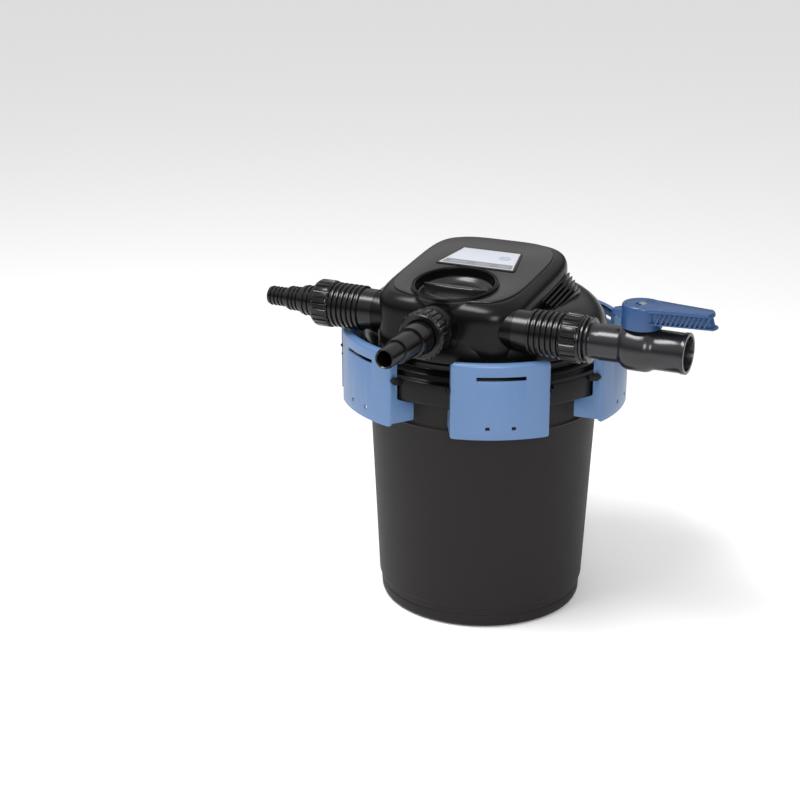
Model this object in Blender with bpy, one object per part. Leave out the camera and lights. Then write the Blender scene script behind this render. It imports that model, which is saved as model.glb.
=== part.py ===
"""Pressurized pond filter: standing canister, lift-off head with a flow selector,
six swing clamps, two hose tails, and a ball valve on the outlet.

Frame: +Z up, origin on the canister's axis at its base, +X through the outlet port,
-Y through the front port. Metres throughout.
"""
import math

import bmesh
import bpy
from mathutils import Matrix, Vector

# ---- driving sizes -------------------------------------------------------------------
RING_RADIUS = 0.177           # closing ring on the head, outside
CANISTER_HEIGHT = 0.345       # base to rim
WALL = 0.003                  # canister wall
BASE_THICKNESS = 0.005
DRAFT = 0.0135                # how much narrower the base is than the neck
FOOT_HEIGHT = 0.028
FOOT_STEP = 0.0022
BEAD_DROP = 0.064             # neck bead below the rim
RIM_FLANGE = 0.003

PORT_PIPE_RADIUS = 0.0225     # spigots and collars grow from this
PORT_WALL = 0.003
NUT_RIBS = 12
RING_COUNT = 6                # grip rings on each port neck

HOOD_HALF_WIDTH = 0.100
HOOD_TILT = math.radians(7.6)
HOOD_WALL = 0.004
KNOB_RADIUS = 0.0490
LABEL_SIZE = (0.099, 0.062, 0.0012)

CLAMP_COUNT = 6
CLAMP_HALF_ANGLE = math.radians(19.0)
CLAMP_SHIFT = math.radians(4.0)   # side clamps sit this much further round than an even spacing
CLAMP_PLATE = 0.003
CLAMP_TOP = 0.0396            # above the rim
CLAMP_BOTTOM = -0.0587        # below the rim
PIN_RADIUS = 0.0022           # stub pins that the clamps turn on

LEVER_LENGTH = 0.0925
LEVER_HEIGHT = 0.0200
LEVER_WALL = 0.0025
HUB_RADIUS = 0.0245
HUB_HEIGHT = 0.0295
STEM_RADIUS = 0.0050

TUBE_RADIUS = 0.026           # down tube in the head
QUARTZ_RADIUS = 0.0125
# (radius, length) of each step of a hose tail, largest first
HOSE_STEPS = ((0.0200, 0.0200), (0.0160, 0.0225), (0.0127, 0.0285))
FRONT_STEPS = ((0.0205, 0.0265), (0.0165, 0.0375), (0.0127, 0.0320))

FOAM_THICKNESS = 0.042
MEDIA_BALLS = 9
MEDIA_BALL_RADIUS = 0.0185

LARGE_SIDES = 32              # sides of the canister and the head
MEDIUM_SIDES = 20             # knob and diverter
SMALL_SIDES = 12              # pipes and fittings
TINY_SIDES = 8                # pins, screws and small holes

# ---- clearances ----------------------------------------------------------------------
GAP = 0.0003                  # faces that touch
RUN = 0.0004                  # a pin in its hole
FIT = 0.0010                  # parts that slide past each other

# ---- sizes that follow ---------------------------------------------------------------
NECK_RADIUS = RING_RADIUS - 0.0255
BASE_RADIUS = NECK_RADIUS - DRAFT
RIM_RADIUS = NECK_RADIUS + RIM_FLANGE
INNER_RADIUS = NECK_RADIUS - WALL
DRUM_RADIUS = RING_RADIUS - 0.015
CLAMP_RADIUS = RING_RADIUS + 0.013
RIM = CANISTER_HEIGHT
RING_LOW = RIM - 0.023
SEAL_TOP = RIM + 0.0047
PLATE_LOW = SEAL_TOP + 0.0020
PLATE_TOP = PLATE_LOW + 0.0045
HOOD_BASE = RIM + 0.030
HOOD_FRONT = -(RING_RADIUS - 0.025)
HOOD_REAR = RING_RADIUS - 0.096
HOOD_MIDDLE = (HOOD_FRONT + HOOD_REAR) / 2
HOOD_HALF_DEPTH = (HOOD_REAR - HOOD_FRONT) / 2
KNOB_Y = HOOD_FRONT + KNOB_RADIUS + 0.0075
LABEL_Y = KNOB_Y + KNOB_RADIUS + 0.0405
WELL_RADIUS = KNOB_RADIUS + 0.0015
WELL_OUTER = WELL_RADIUS + 0.0022
WELL_HOLE = WELL_OUTER + 0.0008
PORT_Y = HOOD_FRONT + PORT_PIPE_RADIUS + 0.0115
PORT_HEIGHT = PORT_PIPE_RADIUS + 0.0490      # port axis above the rim
PORT_Z = RIM + PORT_HEIGHT
COLLAR_RADIUS = PORT_PIPE_RADIUS + 0.003
HOOD_HEIGHT = PORT_HEIGHT + COLLAR_RADIUS + 0.01226   # hood top above the rim, at the knob
NECK_START = KNOB_RADIUS + 0.0010
CHAMBER_DEPTH = HOOD_HEIGHT - PORT_HEIGHT + PORT_PIPE_RADIUS + 0.00174
CHAMBER_RADIUS = KNOB_RADIUS - 0.0060
SLEEVE_RADIUS = COLLAR_RADIUS + 0.0035
NUT_RADIUS = SLEEVE_RADIUS + 0.0015
NECK_BORE = PORT_PIPE_RADIUS - PORT_WALL
TAIL_RADIUS = PORT_PIPE_RADIUS - 0.0025
COLLAR_END = HOOD_HALF_WIDTH + 0.0150
SLEEVE_LENGTH = 0.0430
THREAD_LENGTH = 0.0120
NUT_LENGTH = 0.0255
WASHER_THICKNESS = 0.0020
TAIL_FLANGE = 0.0040
FRONT_BORE = NECK_BORE - 0.0045
FRONT_WALL_RADIUS = FRONT_BORE + 0.0035
FRONT_NECK = 0.0205           # hood front wall to the front thread spigot
VALVE_START = COLLAR_END + SLEEVE_LENGTH + NUT_LENGTH + 0.0215
VALVE_BORE = PORT_PIPE_RADIUS - 0.0050
VALVE_BALL_RADIUS = PORT_PIPE_RADIUS - 0.0025
VALVE_LENGTH = 0.1075
BALL_AT = VALVE_START + 0.0485
BULGE = VALVE_BALL_RADIUS + 0.0090
HUB_ROOM = 0.0140             # depth of the hollow under the lever's hub
GLAND_X = 0.035
GLAND_Z = CANISTER_HEIGHT + 0.100
PIVOT_RADIUS = RING_RADIUS - 0.0045
PIVOT_Z = RIM + 0.002
RISER_RADIUS = TUBE_RADIUS + 0.0030 + FIT
RISER_TOP = RIM - 0.055
STACK_OUTER = BASE_RADIUS - WALL - 0.004
STACK_INNER = RISER_RADIUS + 0.0015
LAYER_GAP = 0.0010

# colours: (red, green, blue), roughness, metallic
FINISHES = {
    "canister_plastic": ((0.030, 0.026, 0.025), 0.55, 0.0),
    "head_plastic": ((0.012, 0.011, 0.011), 0.28, 0.0),
    "fascia_plastic": ((0.035, 0.033, 0.034), 0.32, 0.0),
    "fitting_plastic": ((0.022, 0.020, 0.020), 0.35, 0.0),
    "clamp_plastic": ((0.200, 0.330, 0.600), 0.38, 0.0),
    "lever_plastic": ((0.055, 0.135, 0.330), 0.33, 0.0),
    "valve_plastic": ((0.060, 0.056, 0.062), 0.30, 0.0),
    "label_film": ((0.780, 0.790, 0.860), 0.45, 0.0),
    "rubber": ((0.015, 0.015, 0.015), 0.80, 0.0),
    "foam_black": ((0.030, 0.030, 0.032), 0.95, 0.0),
    "foam_blue": ((0.060, 0.160, 0.420), 0.95, 0.0),
    "foam_green": ((0.110, 0.240, 0.090), 0.95, 0.0),
    "media_plastic": ((0.090, 0.110, 0.160), 0.60, 0.0),
    "quartz": ((0.800, 0.860, 0.900), 0.05, 0.0),
    "lamp_white": ((0.850, 0.850, 0.830), 0.30, 0.0),
    "steel": ((0.550, 0.550, 0.560), 0.30, 1.0),
    "white_plastic": ((0.700, 0.700, 0.680), 0.40, 0.0),
}


# ---- general helpers -----------------------------------------------------------------
def clear_scene():
    for old in list(bpy.data.objects):
        bpy.data.objects.remove(old, do_unlink=True)


def finish(name):
    made = bpy.data.materials.get(name)
    if made:
        return made
    colour, roughness, metallic = FINISHES[name]
    made = bpy.data.materials.new(name)
    made.use_nodes = True
    shader = made.node_tree.nodes["Principled BSDF"]
    shader.inputs["Base Color"].default_value = (*colour, 1.0)
    shader.inputs["Roughness"].default_value = roughness
    shader.inputs["Metallic"].default_value = metallic
    made.diffuse_color = (*colour, 1.0)
    return made


def skin(loops, wrap=False):
    """Quads between one closed loop of points and the next, capped or wrapped round."""
    bm = bmesh.new()
    rings = [[bm.verts.new(point) for point in loop] for loop in loops]
    pairs = list(zip(rings, rings[1:]))
    if wrap:
        pairs.append((rings[-1], rings[0]))
    else:
        bm.faces.new(rings[0])
        bm.faces.new(rings[-1])
    for low, high in pairs:
        for i in range(len(low)):
            j = (i + 1) % len(low)
            bm.faces.new((low[i], low[j], high[j], high[i]))
    bmesh.ops.recalc_face_normals(bm, faces=bm.faces)
    return bm


def circle(radius, z, count, wobble=0.0, teeth=0):
    """A round loop, or a ribbed one when teeth are asked for."""
    loop = []
    for i in range(count):
        angle = 2 * math.pi * i / count
        r = radius - (wobble if teeth and (i * teeth * 2 // count) % 2 else 0.0)
        loop.append(Vector((r * math.cos(angle), r * math.sin(angle), z)))
    return loop


def turned(profile, count=32, wrap=True):
    """A profile of (radius, height) points turned about Z."""
    return skin([circle(r, z, count) for r, z in profile], wrap)


def rod(radius, low, high, count=20):
    return turned([(radius, low), (radius, high)], count, wrap=False)


def block(low, high):
    """A box from its lowest to its highest corner."""
    corners = [(low[0], low[1]), (high[0], low[1]), (high[0], high[1]), (low[0], high[1])]
    return skin([[Vector((x, y, z)) for x, y in corners] for z in (low[2], high[2])])


def prism(outline, low, high):
    """An outline of (x, y) points raised from low to high."""
    return skin([[Vector((x, y, z)) for x, y in outline] for z in (low, high)])


def moved(bm, matrix):
    bmesh.ops.transform(bm, matrix=matrix, verts=bm.verts)
    if matrix.determinant() < 0:
        bmesh.ops.reverse_faces(bm, faces=bm.faces)
    return bm


def along(direction, start):
    """Turns a piece made along +Z to run along direction from start."""
    turn = Vector((0, 0, 1)).rotation_difference(Vector(direction)).to_matrix().to_4x4()
    return Matrix.Translation(start) @ turn


def temporary(bm):
    mesh = bpy.data.meshes.new("work")
    bm.to_mesh(mesh)
    bm.free()
    made = bpy.data.objects.new("work", mesh)
    bpy.context.scene.collection.objects.link(made)
    return made


def combined(base, tools, operation):
    """The base shape with each tool shape cut from it or joined to it."""
    body = temporary(base)
    for tool in tools:
        helper = temporary(tool)
        change = body.modifiers.new("change", "BOOLEAN")
        change.operation = operation
        change.solver = "EXACT"
        change.object = helper
        graph = bpy.context.evaluated_depsgraph_get()
        result = bpy.data.meshes.new_from_object(body.evaluated_get(graph))
        body.modifiers.clear()
        body.data = result
        bpy.data.objects.remove(helper, do_unlink=True)
    bm = bmesh.new()
    bm.from_mesh(body.data)
    bpy.data.objects.remove(body, do_unlink=True)
    bmesh.ops.remove_doubles(bm, verts=bm.verts, dist=1e-6)
    bmesh.ops.dissolve_degenerate(bm, edges=bm.edges, dist=1e-6)
    return bm


def cut(base, *tools):
    return combined(base, tools, "DIFFERENCE")


def joined(base, *tools):
    return combined(base, tools, "UNION")


def pivot(name, place, parent=None):
    """An empty on a joint's axis, which carries what moves with that joint."""
    made = bpy.data.objects.new(name, None)
    made.empty_display_size = 0.02
    made.location = Vector(place) - (Vector(parent["place"]) if parent else Vector())
    made["place"] = tuple(place)
    made.parent = parent
    bpy.context.scene.collection.objects.link(made)
    return made


def piece(name, bm, material, carrier=None):
    """Names a solid made in world coordinates and hangs it on its carrier."""
    place = Vector(carrier["place"]) if carrier else Vector()
    bmesh.ops.translate(bm, vec=-place, verts=bm.verts)
    mesh = bpy.data.meshes.new(name)
    bm.to_mesh(mesh)
    bm.free()
    mesh.materials.append(finish(material))
    mesh.shade_smooth()
    mesh.set_sharp_from_angle(angle=math.radians(35))
    made = bpy.data.objects.new(name, mesh)
    made.parent = carrier
    bpy.context.scene.collection.objects.link(made)
    return made


# ---- canister and what it holds ------------------------------------------------------
def canister():
    bead = RIM - BEAD_DROP
    low = BASE_RADIUS - FOOT_STEP
    outer = [
        (low - 0.008, 0.0), (low, 0.0060), (low + 0.0012, FOOT_HEIGHT),
        (BASE_RADIUS + 0.0012, FOOT_HEIGHT + 0.0015), (NECK_RADIUS - 0.0005, bead - 0.003),
        (NECK_RADIUS + 0.002, bead), (NECK_RADIUS, bead + 0.003),
        (NECK_RADIUS, RIM - 0.028), (RIM_RADIUS, RIM - 0.0265), (RIM_RADIUS, RIM),
    ]
    inner = [
        (INNER_RADIUS, RIM), (INNER_RADIUS, bead), (low - WALL + 0.0012, FOOT_HEIGHT),
        (low - WALL - 0.003, BASE_THICKNESS),
    ]
    loops = [circle(r, z, LARGE_SIDES) for r, z in outer + inner]
    return skin(loops)


def grate(radii, height, thickness, spokes):
    """A flat wheel: rings at alternate radii, joined by narrow spokes."""
    bm = bmesh.new()
    count = spokes * 2
    turns = []
    for i in range(spokes):
        middle = 2 * math.pi * i / spokes
        turns += [middle - 0.05, middle + 0.05]
    grid = [[bm.verts.new((r * math.cos(a), r * math.sin(a), height)) for a in turns] for r in radii]
    for ring in range(len(radii) - 1):
        for i in range(count):
            solid_ring = ring % 2 == 0
            on_spoke = i % 2 == 0
            if solid_ring or on_spoke:
                j = (i + 1) % count
                bm.faces.new((grid[ring][i], grid[ring][j], grid[ring + 1][j], grid[ring + 1][i]))
    faces = list(bm.faces)
    raised = bmesh.ops.extrude_face_region(bm, geom=faces, use_keep_orig=True)
    upper = [item for item in raised["geom"] if isinstance(item, bmesh.types.BMVert)]
    bmesh.ops.translate(bm, vec=(0, 0, thickness), verts=upper)
    bmesh.ops.recalc_face_normals(bm, faces=bm.faces)
    return bm


def grate_radii(low, high):
    low += 0.0025
    span = high - low
    return [low + span * share for share in (0.0, 0.10, 0.93, 1.0)]


def standing_parts():
    piece("canister", canister(), "canister_plastic")
    floor = 0.016
    piece("lower_grid", grate(grate_radii(STACK_INNER, STACK_OUTER - 0.002), floor, 0.004, 8),
          "white_plastic")
    riser = turned([(RISER_RADIUS - 0.0030, 0.0085), (RISER_RADIUS, 0.0085),
                    (RISER_RADIUS, RISER_TOP), (RISER_RADIUS - 0.0030, RISER_TOP)], SMALL_SIDES)
    notch = RISER_RADIUS * 0.28
    slots = [moved(block((0, -notch, 0), (RISER_RADIUS * 1.2, notch, 0.0145)),
                   Matrix.Rotation(k * math.pi / 2, 4, "Z")) for k in range(4)]
    piece("riser_tube", cut(riser, *slots), "fitting_plastic")
    z = floor + 0.004 + LAYER_GAP
    for name, colour in (("foam_coarse", "foam_black"), ("foam_medium", "foam_blue"),
                         ("foam_fine", "foam_green")):
        piece(name, turned([(STACK_INNER, z), (STACK_OUTER, z), (STACK_OUTER, z + FOAM_THICKNESS),
                            (STACK_INNER, z + FOAM_THICKNESS)], MEDIUM_SIDES), colour)
        z += FOAM_THICKNESS + LAYER_GAP
    piece("media_grid", grate(grate_radii(STACK_INNER, STACK_OUTER), z, 0.004, 8), "white_plastic")
    z += 0.004 + LAYER_GAP
    ball_track = (STACK_INNER + STACK_OUTER) / 2
    for i in range(MEDIA_BALLS):
        angle = 2 * math.pi * i / MEDIA_BALLS
        centre = (ball_track * math.cos(angle), ball_track * math.sin(angle), z + MEDIA_BALL_RADIUS)
        piece(f"bio_ball_{i + 1}", moved(media_ball(), Matrix.Translation(centre)), "media_plastic")
    z += 2 * MEDIA_BALL_RADIUS + LAYER_GAP
    piece("upper_grid", grate(grate_radii(STACK_INNER, STACK_OUTER), z, 0.004, 8), "white_plastic")


def media_ball():
    """A round ball with grooves between its flat rings."""
    rings = []
    steps = 5
    for i in range(steps):
        tilt = math.pi * (i + 0.5) / steps
        deep = 0.82 if i % 2 else 1.0
        rings.append((MEDIA_BALL_RADIUS * deep * math.sin(tilt), -MEDIA_BALL_RADIUS * math.cos(tilt)))
    return turned(rings, TINY_SIDES, wrap=False)


# ---- head ----------------------------------------------------------------------------
def superloop(half_x, half_y, middle_y, power, z_of, count=28, inset=0.0):
    """A barrel-sided rounded rectangle, its height given by z_of(y)."""
    loop = []
    for i in range(count):
        a = 2 * math.pi * (i + 0.5) / count
        c, s = math.cos(a), math.sin(a)
        reach = (abs(c) ** power + abs(s) ** power) ** (-1 / power)
        x = (half_x - inset) * reach * c
        y = middle_y + (half_y - inset) * reach * s
        loop.append(Vector((x, y, z_of(y))))
    return loop


def hood_top(y, drop=0.0):
    return RIM + HOOD_HEIGHT + (y - KNOB_Y) * math.tan(HOOD_TILT) - drop


def hood_solid(inset=0.0, base=HOOD_BASE, top_drop=0.0):
    """The hood's outer form, or its inner one when inset."""
    levels = [(base, None, 0.0), (None, 0.020, 0.0), (None, 0.0095, 0.0022),
              (None, 0.0030, 0.0065), (None, 0.0, 0.0125)]
    loops = []
    for fixed, drop, pull in levels:
        if fixed is not None:
            def height(y, z=fixed):
                return z
        else:
            def height(y, d=drop):
                return hood_top(y, d + top_drop)
        loops.append(superloop(HOOD_HALF_WIDTH, HOOD_HALF_DEPTH, HOOD_MIDDLE, 5.0, height,
                               inset=inset + pull))
    return skin(loops)


def lid_profile():
    ring, drum = RING_RADIUS, DRUM_RADIUS
    collar = RIM_RADIUS + FIT + 0.0005
    outer = [
        (collar, RING_LOW - 0.0075), (ring, RING_LOW), (ring, RIM + 0.0045),
        (ring - 0.0060, RIM + 0.0070), (ring - 0.0065, RIM + 0.0140), (drum - 0.0040, RIM + 0.0175),
        (drum - 0.0040, RIM + 0.0250), (drum, RIM + 0.0280), (drum, RIM + 0.0380),
        (drum - 0.0060, RIM + 0.0550), (drum - 0.0170, RIM + 0.0690), (drum - 0.0330, RIM + 0.0785),
        (0.080, RIM + 0.0835),
    ]
    inner = [
        (0.080, RIM + 0.0800), (drum - 0.0350, RIM + 0.0750), (drum - 0.0200, RIM + 0.0660),
        (drum - 0.0085, RIM + 0.0500), (drum - 0.0072, RIM + 0.0150),
        (INNER_RADIUS - 0.0025, RIM + 0.0130), (INNER_RADIUS - 0.0025, SEAL_TOP + GAP),
        (collar, SEAL_TOP + GAP),
    ]
    return outer + inner


def clamp_angles():
    step = 2 * math.pi / CLAMP_COUNT
    shifts = (0, 1, -1, 0, 1, -1)
    return [step * (i + 0.5) + CLAMP_SHIFT * shifts[i] for i in range(CLAMP_COUNT)]


def clamp_side():
    """Distance of a clamp's side faces from its middle plane."""
    return CLAMP_RADIUS * math.sin(CLAMP_HALF_ANGLE)


def clamp_frame(angle):
    """Local +X points outward through the clamp's middle, +Y along its hinge axis."""
    return Matrix.Rotation(angle - math.pi / 2, 4, "Z")


def pivot_lug(sign):
    """The dart and its stub pin, which a clamp's side wall turns on."""
    side = clamp_side()
    inside = math.sqrt(RING_RADIUS ** 2 - (side + 0.006) ** 2) - 0.006
    outline = [(inside, PIVOT_Z - 0.0060), (PIVOT_RADIUS + 0.002, PIVOT_Z - 0.0045),
               (PIVOT_RADIUS + 0.0065, PIVOT_Z - 0.0005), (PIVOT_RADIUS + 0.0065, PIVOT_Z + 0.0015),
               (PIVOT_RADIUS + 0.002, PIVOT_Z + 0.0050), (inside, PIVOT_Z + 0.0020)]
    near, far = side + 0.0006, side + 0.0046
    dart = skin([[Vector((x, y, z)) for x, z in outline] for y in (near, far)])
    pin = moved(rod(PIN_RADIUS, 0.0, 0.0052, TINY_SIDES),
                along((0, -1, 0), (PIVOT_RADIUS, near + 0.0008, PIVOT_Z)))
    lug = joined(dart, pin)
    if sign < 0:
        moved(lug, Matrix.Scale(-1, 4, (0, 1, 0)))
    return lug


def vent_fin(sign, number):
    """One upright fin of the stepped vent on the hood's flank."""
    x = HOOD_HALF_WIDTH - 0.0010 + 0.0042 * number
    down = 0.020 + 0.0045 * number
    front, rear = -0.030 + 0.004 * number, 0.040 - 0.003 * number
    foot = RIM + 0.074
    outline = [(front, foot), (rear, foot), (rear, hood_top(rear, down)),
               (front + 0.004, hood_top(front, down))]
    thick = 0.0011
    fin = skin([[Vector((sign * x + offset, y, z)) for y, z in outline] for offset in (-thick, thick)])
    return fin


def knob_frame():
    """Local +Z is the knob's axis, with its origin on the hood's top face."""
    place = Vector((0, KNOB_Y, hood_top(KNOB_Y)))
    return Matrix.Translation(place) @ Matrix.Rotation(HOOD_TILT, 4, "X")


def head_shell():
    lid = turned(lid_profile(), LARGE_SIDES)
    boss = moved(rod(WELL_RADIUS + 0.0050, -0.022, -0.0002, MEDIUM_SIDES), knob_frame())
    collar = moved(rod(NUT_RADIUS - 0.0015, -0.0065, FRONT_NECK - 0.0010, MEDIUM_SIDES),
                   along((0, -1, 0), (0, HOOD_FRONT, PORT_Z)))
    shell = joined(lid, hood_solid(), boss, collar)
    fins = [vent_fin(sign, number) for sign in (-1, 1) for number in range(5)]
    lugs = []
    for angle in clamp_angles():
        for sign in (-1, 1):
            lugs.append(moved(pivot_lug(sign), clamp_frame(angle)))
    shell = joined(shell, *fins, *lugs)
    cavity = hood_solid(HOOD_WALL, RIM + 0.0145, HOOD_WALL)
    across = along((1, 0, 0), (0, PORT_Y, PORT_Z))
    reach = COLLAR_END + SLEEVE_LENGTH
    sides = SMALL_SIDES + 4
    side_holes = moved(rod(COLLAR_RADIUS + 0.0012, -reach, reach, sides), across)
    reliefs = [moved(rod(SLEEVE_RADIUS + 0.0018, COLLAR_END - 0.0010, reach, sides),
                     along((way, 0, 0), (0, PORT_Y, PORT_Z))) for way in (-1, 1)]
    ahead = along((0, -1, 0), (0, HOOD_FRONT, PORT_Z))
    front_hole = moved(rod(FRONT_WALL_RADIUS + FIT, -0.04, 0.04, SMALL_SIDES), ahead)
    front_relief = moved(rod(NUT_RADIUS + 0.0020, FRONT_NECK - 0.001, 0.06, sides), ahead)
    well_hole = moved(rod(WELL_HOLE, -0.020, 0.020, MEDIUM_SIDES), knob_frame())
    gland_hole = moved(rod(0.0085, -0.02, 0.02, TINY_SIDES),
                       along((0, 1, 0), (GLAND_X, HOOD_REAR, GLAND_Z)))
    return cut(shell, cavity, side_holes, *reliefs, front_hole, front_relief, well_hole, gland_hole)


def fascia():
    """The raised top plate, with the knob's round opening."""
    def low(y):
        return hood_top(y) + GAP

    def high(y):
        return hood_top(y) + 0.0022
    rings = [superloop(HOOD_HALF_WIDTH, HOOD_HALF_DEPTH, HOOD_MIDDLE, 4.0, low, inset=0.0135),
             superloop(HOOD_HALF_WIDTH, HOOD_HALF_DEPTH, HOOD_MIDDLE, 4.0, high, inset=0.0150)]
    opening = moved(rod(WELL_HOLE, -0.01, 0.02, MEDIUM_SIDES), knob_frame())
    return cut(skin(rings), opening)


def knob_well():
    inner, outer = WELL_RADIUS, WELL_OUTER
    lip = WELL_RADIUS + 0.0050
    profile = [(inner, 0.0040), (inner + 0.0012, 0.0052), (lip - 0.0012, 0.0052), (lip, 0.0040),
               (lip, 0.0026), (outer, 0.0026), (outer, -0.0060), (outer - 0.0035, -0.0190),
               (0.0105, -0.0190), (0.0105, -0.0168), (inner - 0.0030, -0.0168), (inner, -0.0070)]
    return moved(turned(profile, MEDIUM_SIDES), knob_frame())


def port_neck(inner_end, collar_end):
    """A collar, a sleeve of grip rings and a thread spigot, in a line along +Z."""
    sleeve_end = collar_end + SLEEVE_LENGTH
    spigot_end = sleeve_end + THREAD_LENGTH
    profile = [(NECK_BORE, inner_end), (PORT_PIPE_RADIUS, inner_end)]
    if collar_end > inner_end + 0.03:
        profile += [(PORT_PIPE_RADIUS, collar_end - 0.030), (COLLAR_RADIUS, collar_end - 0.028)]
    profile += [(COLLAR_RADIUS, collar_end)]
    pitch = SLEEVE_LENGTH / RING_COUNT
    for i in range(RING_COUNT):
        start = collar_end + i * pitch
        profile += [(SLEEVE_RADIUS, start + 0.0006), (SLEEVE_RADIUS, start + pitch * 0.60)]
        profile += [(COLLAR_RADIUS + 0.0010, start + pitch * 0.85)]
    profile += [(PORT_PIPE_RADIUS + 0.0012, sleeve_end), (PORT_PIPE_RADIUS + 0.0012, spigot_end),
                (NECK_BORE, spigot_end)]
    return turned(profile, SMALL_SIDES)


def short_neck(inner_end, spigot_start):
    """The front port: a plain tube through the hood's wall that ends in a thread spigot."""
    spigot, spigot_end = PORT_PIPE_RADIUS + 0.0012, spigot_start + THREAD_LENGTH
    profile = [(FRONT_BORE, inner_end), (FRONT_WALL_RADIUS, inner_end),
               (FRONT_WALL_RADIUS, spigot_start), (spigot, spigot_start), (spigot, spigot_end),
               (FRONT_BORE, spigot_end)]
    return turned(profile, SMALL_SIDES)


def head_parts(head):
    piece("head_shell", head_shell(), "head_plastic", head)
    piece("fascia_panel", fascia(), "fascia_plastic", head)
    piece("knob_well", knob_well(), "head_plastic", head)
    width, depth, thick = LABEL_SIZE
    lift = 0.0022 + GAP
    label = moved(block((-width / 2, -depth / 2, 0), (width / 2, depth / 2, thick)),
                  Matrix.Translation((0, LABEL_Y, hood_top(LABEL_Y) + lift + 0.0001))
                  @ Matrix.Rotation(HOOD_TILT, 4, "X"))
    piece("label_plate", label, "label_film", head)
    seal = [(INNER_RADIUS - 0.0010, RIM + GAP), (RIM_RADIUS - 0.0010, RIM + GAP),
            (RIM_RADIUS - 0.0010, SEAL_TOP), (INNER_RADIUS - 0.0010, SEAL_TOP)]
    piece("lid_seal", turned(seal, LARGE_SIDES), "rubber", head)
    for name, way in (("left_port_neck", -1), ("right_port_neck", 1)):
        neck = moved(port_neck(NECK_START, COLLAR_END), along((way, 0, 0), (0, PORT_Y, PORT_Z)))
        piece(name, neck, "fitting_plastic", head)
    neck = moved(short_neck(-0.0060, FRONT_NECK), along((0, -1, 0), (0, HOOD_FRONT, PORT_Z)))
    piece("front_port_neck", neck, "fitting_plastic", head)
    inner_head_parts(head)


def inner_head_parts(head):
    plate_radius = INNER_RADIUS - 0.0025 - GAP
    plate = rod(plate_radius, PLATE_LOW, PLATE_TOP, LARGE_SIDES)
    centre = rod(TUBE_RADIUS + GAP, PLATE_LOW - 0.01, PLATE_TOP + 0.01, SMALL_SIDES)
    windows = []
    for k in range(6):
        angle = k * math.pi / 3 + 0.31
        track = (TUBE_RADIUS + plate_radius) / 2
        spot = Matrix.Translation((track * math.cos(angle), track * math.sin(angle), 0))
        windows.append(moved(rod(0.016, PLATE_LOW - 0.01, PLATE_TOP + 0.01, TINY_SIDES), spot))
    piece("base_plate", cut(plate, centre, *windows), "fitting_plastic", head)
    tube = [(TUBE_RADIUS - 0.0025, RISER_TOP - 0.020), (TUBE_RADIUS, RISER_TOP - 0.020),
            (TUBE_RADIUS, PLATE_TOP + GAP), (TUBE_RADIUS + 0.006, PLATE_TOP + GAP),
            (TUBE_RADIUS + 0.006, PLATE_TOP + 0.004), (TUBE_RADIUS - 0.0025, PLATE_TOP + 0.004)]
    piece("down_tube", turned(tube, SMALL_SIDES), "fitting_plastic", head)
    top = PLATE_TOP + 0.0160
    low = 0.110
    quartz = [(QUARTZ_RADIUS, low + 0.003), (QUARTZ_RADIUS, top), (QUARTZ_RADIUS - 0.0015, top),
              (QUARTZ_RADIUS - 0.0015, low + 0.003), (QUARTZ_RADIUS * 0.5, low + 0.0015)]
    outside = [(QUARTZ_RADIUS * 0.5, low)]
    loops = [circle(r, z, SMALL_SIDES) for r, z in outside + quartz]
    piece("quartz_sleeve", skin(loops), "quartz", head)
    lamp = [(0.004, low + 0.006), (0.0075, low + 0.010), (0.0075, top - 0.004), (0.0095, top - 0.004),
            (0.0095, top + 0.010), (0.004, top + 0.010)]
    piece("uv_lamp", turned(lamp, TINY_SIDES, wrap=False), "lamp_white", head)
    nut = [(QUARTZ_RADIUS + RUN, PLATE_TOP + 0.0045), (QUARTZ_RADIUS + 0.008, PLATE_TOP + 0.0045),
           (QUARTZ_RADIUS + 0.008, PLATE_TOP + 0.0150), (QUARTZ_RADIUS + RUN, PLATE_TOP + 0.0150)]
    piece("sleeve_nut", turned(nut, SMALL_SIDES), "fitting_plastic", head)
    cap = QUARTZ_RADIUS + 0.002
    holder = [(0.0102, top + GAP), (cap, top + GAP), (cap, top + 0.018),
              (0.003, top + 0.018), (0.003, top + 0.0106), (0.0102, top + 0.0106)]
    piece("lamp_holder", turned(holder, SMALL_SIDES), "white_plastic", head)
    piece("ballast_box", block((-0.045, 0.026, RIM + 0.030), (0.020, 0.062, RIM + 0.070)),
          "white_plastic", head)
    inside, floor = CHAMBER_RADIUS - 0.0025, 0.0030 - CHAMBER_DEPTH
    chamber = [(inside, -0.0230), (CHAMBER_RADIUS, -0.0230), (CHAMBER_RADIUS, -CHAMBER_DEPTH),
               (0.010, -CHAMBER_DEPTH), (0.010, floor), (inside, floor)]
    cup = moved(turned(chamber, MEDIUM_SIDES), knob_frame())
    across = moved(rod(0.69 * PORT_PIPE_RADIUS, -0.06, 0.06, TINY_SIDES),
                   along((1, 0, 0), (0, PORT_Y + 0.004, PORT_Z)))
    ahead = moved(rod(0.60 * PORT_PIPE_RADIUS, 0.0, 0.06, TINY_SIDES),
                  along((0, -1, 0), (0, KNOB_Y, PORT_Z)))
    piece("diverter_chamber", cut(cup, across, ahead), "fitting_plastic", head)
    gland = [(0.0035, -0.010), (0.0080, -0.010), (0.0080, 0.0006), (0.0110, 0.0006), (0.0110, 0.0075),
             (0.0085, 0.0090), (0.0070, 0.0150), (0.0035, 0.0160)]
    outward = along((0, 1, 0), (GLAND_X, HOOD_REAR, GLAND_Z))
    piece("cable_gland", moved(turned(gland, TINY_SIDES), outward), "fitting_plastic", head)


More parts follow.
